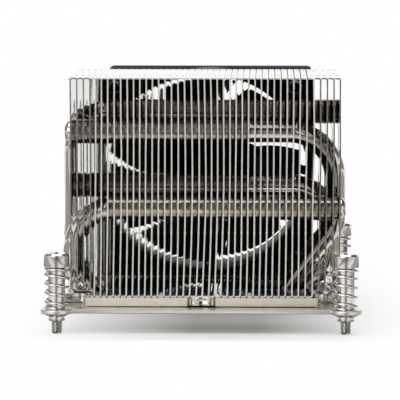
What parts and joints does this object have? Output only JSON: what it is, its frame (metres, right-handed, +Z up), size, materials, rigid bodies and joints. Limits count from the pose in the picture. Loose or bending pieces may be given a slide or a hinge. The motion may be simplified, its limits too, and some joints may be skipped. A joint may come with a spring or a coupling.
{
  "type": "server processor cooler",
  "caption": "Tall zipper-fin processor cooler on bent heat pipes, with a square axial fan behind the fins and spring-loaded captive screws.",
  "frame": {"origin": "centre of the flat contact face that rests on the processor, halfway between the four captive screws", "axes": "+Z up through the fins away from the processor, -Y towards the open side of the fin stack, +Y towards the fan, +X to the right when looking along +Y"},
  "size_m": [0.089, 0.089, 0.0706],
  "materials": {
    "fin_sheet": "nickel-plated sheet",
    "pipe_nickel": "nickel-plated copper tube, satin",
    "base_nickel": "nickel-plated copper, blasted front, polished cut-outs",
    "bracket_steel": "bright nickel-plated steel",
    "screw_steel": "bright nickel-plated, turned",
    "clip_steel": "spring steel",
    "spring_wire": "bright nickel-plated wire",
    "fan_frame_plastic": "black glass-filled plastic",
    "fan_rotor_plastic": "black moulded plastic",
    "fan_screw_steel": "black oxide",
    "bearing_bronze": "sintered bronze"
  },
  "bodies": {
    "root": {"base_block": "base_nickel", "mounting_bracket": "bracket_steel", "bracket_screws": "screw_steel", "heat_pipe_front_low": "pipe_nickel", "heat_pipe_front_high": "pipe_nickel", "heat_pipe_rear_low": "pipe_nickel", "heat_pipe_rear_high": "pipe_nickel", "fins_end_left": "fin_sheet", "fins_slotted_left": "fin_sheet", "fins_middle_left": "fin_sheet", "fins_middle_right": "fin_sheet", "fins_slotted_right": "fin_sheet", "fins_end_right": "fin_sheet", "fan_frame": "fan_frame_plastic", "fan_bearing": "bearing_bronze", "fan_screws": "fan_screw_steel", "spring_front_left": "spring_wire", "spring_front_right": "spring_wire", "spring_rear_left": "spring_wire", "spring_rear_right": "spring_wire"},
    "fan_rotor": {"fan_rotor": "fan_rotor_plastic"},
    "clip_front_left": {"retaining_clip_front_left": "clip_steel"},
    "screw_front_left": {"captive_screw_front_left": "screw_steel"},
    "clip_front_right": {"retaining_clip_front_right": "clip_steel"},
    "screw_front_right": {"captive_screw_front_right": "screw_steel"},
    "clip_rear_left": {"retaining_clip_rear_left": "clip_steel"},
    "screw_rear_left": {"captive_screw_rear_left": "screw_steel"},
    "clip_rear_right": {"retaining_clip_rear_right": "clip_steel"},
    "screw_rear_right": {"captive_screw_rear_right": "screw_steel"}
  },
  "joints": [
    {"name": "fan_spin", "type": "hinge", "parent": "root", "child": "fan_rotor", "pos_m": [0.00105, 0.02, 0.03545], "axis": [0, 1, 0], "continuous": true},
    {"name": "screw_press_front_left", "type": "slide", "parent": "root", "child": "clip_front_left", "axis": [0, 0, 1], "range_m": [-0.006, 0], "stiffness_N_per_m": 2200, "springref_m": 0.002, "deforming": ["spring_front_left"]},
    {"name": "screw_turn_front_left", "type": "hinge", "parent": "clip_front_left", "child": "screw_front_left", "pos_m": [-0.04, -0.04, 0.008], "axis": [0, 0, 1], "continuous": true},
    {"name": "screw_press_front_right", "type": "slide", "parent": "root", "child": "clip_front_right", "axis": [0, 0, 1], "range_m": [-0.006, 0], "stiffness_N_per_m": 2200, "springref_m": 0.002, "deforming": ["spring_front_right"]},
    {"name": "screw_turn_front_right", "type": "hinge", "parent": "clip_front_right", "child": "screw_front_right", "pos_m": [0.04, -0.04, 0.008], "axis": [0, 0, 1], "continuous": true},
    {"name": "screw_press_rear_left", "type": "slide", "parent": "root", "child": "clip_rear_left", "axis": [0, 0, 1], "range_m": [-0.006, 0], "stiffness_N_per_m": 2200, "springref_m": 0.002, "deforming": ["spring_rear_left"]},
    {"name": "screw_turn_rear_left", "type": "hinge", "parent": "clip_rear_left", "child": "screw_rear_left", "pos_m": [-0.04, 0.04, 0.008], "axis": [0, 0, 1], "continuous": true},
    {"name": "screw_press_rear_right", "type": "slide", "parent": "root", "child": "clip_rear_right", "axis": [0, 0, 1], "range_m": [-0.006, 0], "stiffness_N_per_m": 2200, "springref_m": 0.002, "deforming": ["spring_rear_right"]},
    {"name": "screw_turn_rear_right", "type": "hinge", "parent": "clip_rear_right", "child": "screw_rear_right", "pos_m": [0.04, 0.04, 0.008], "axis": [0, 0, 1], "continuous": true}
  ]
}
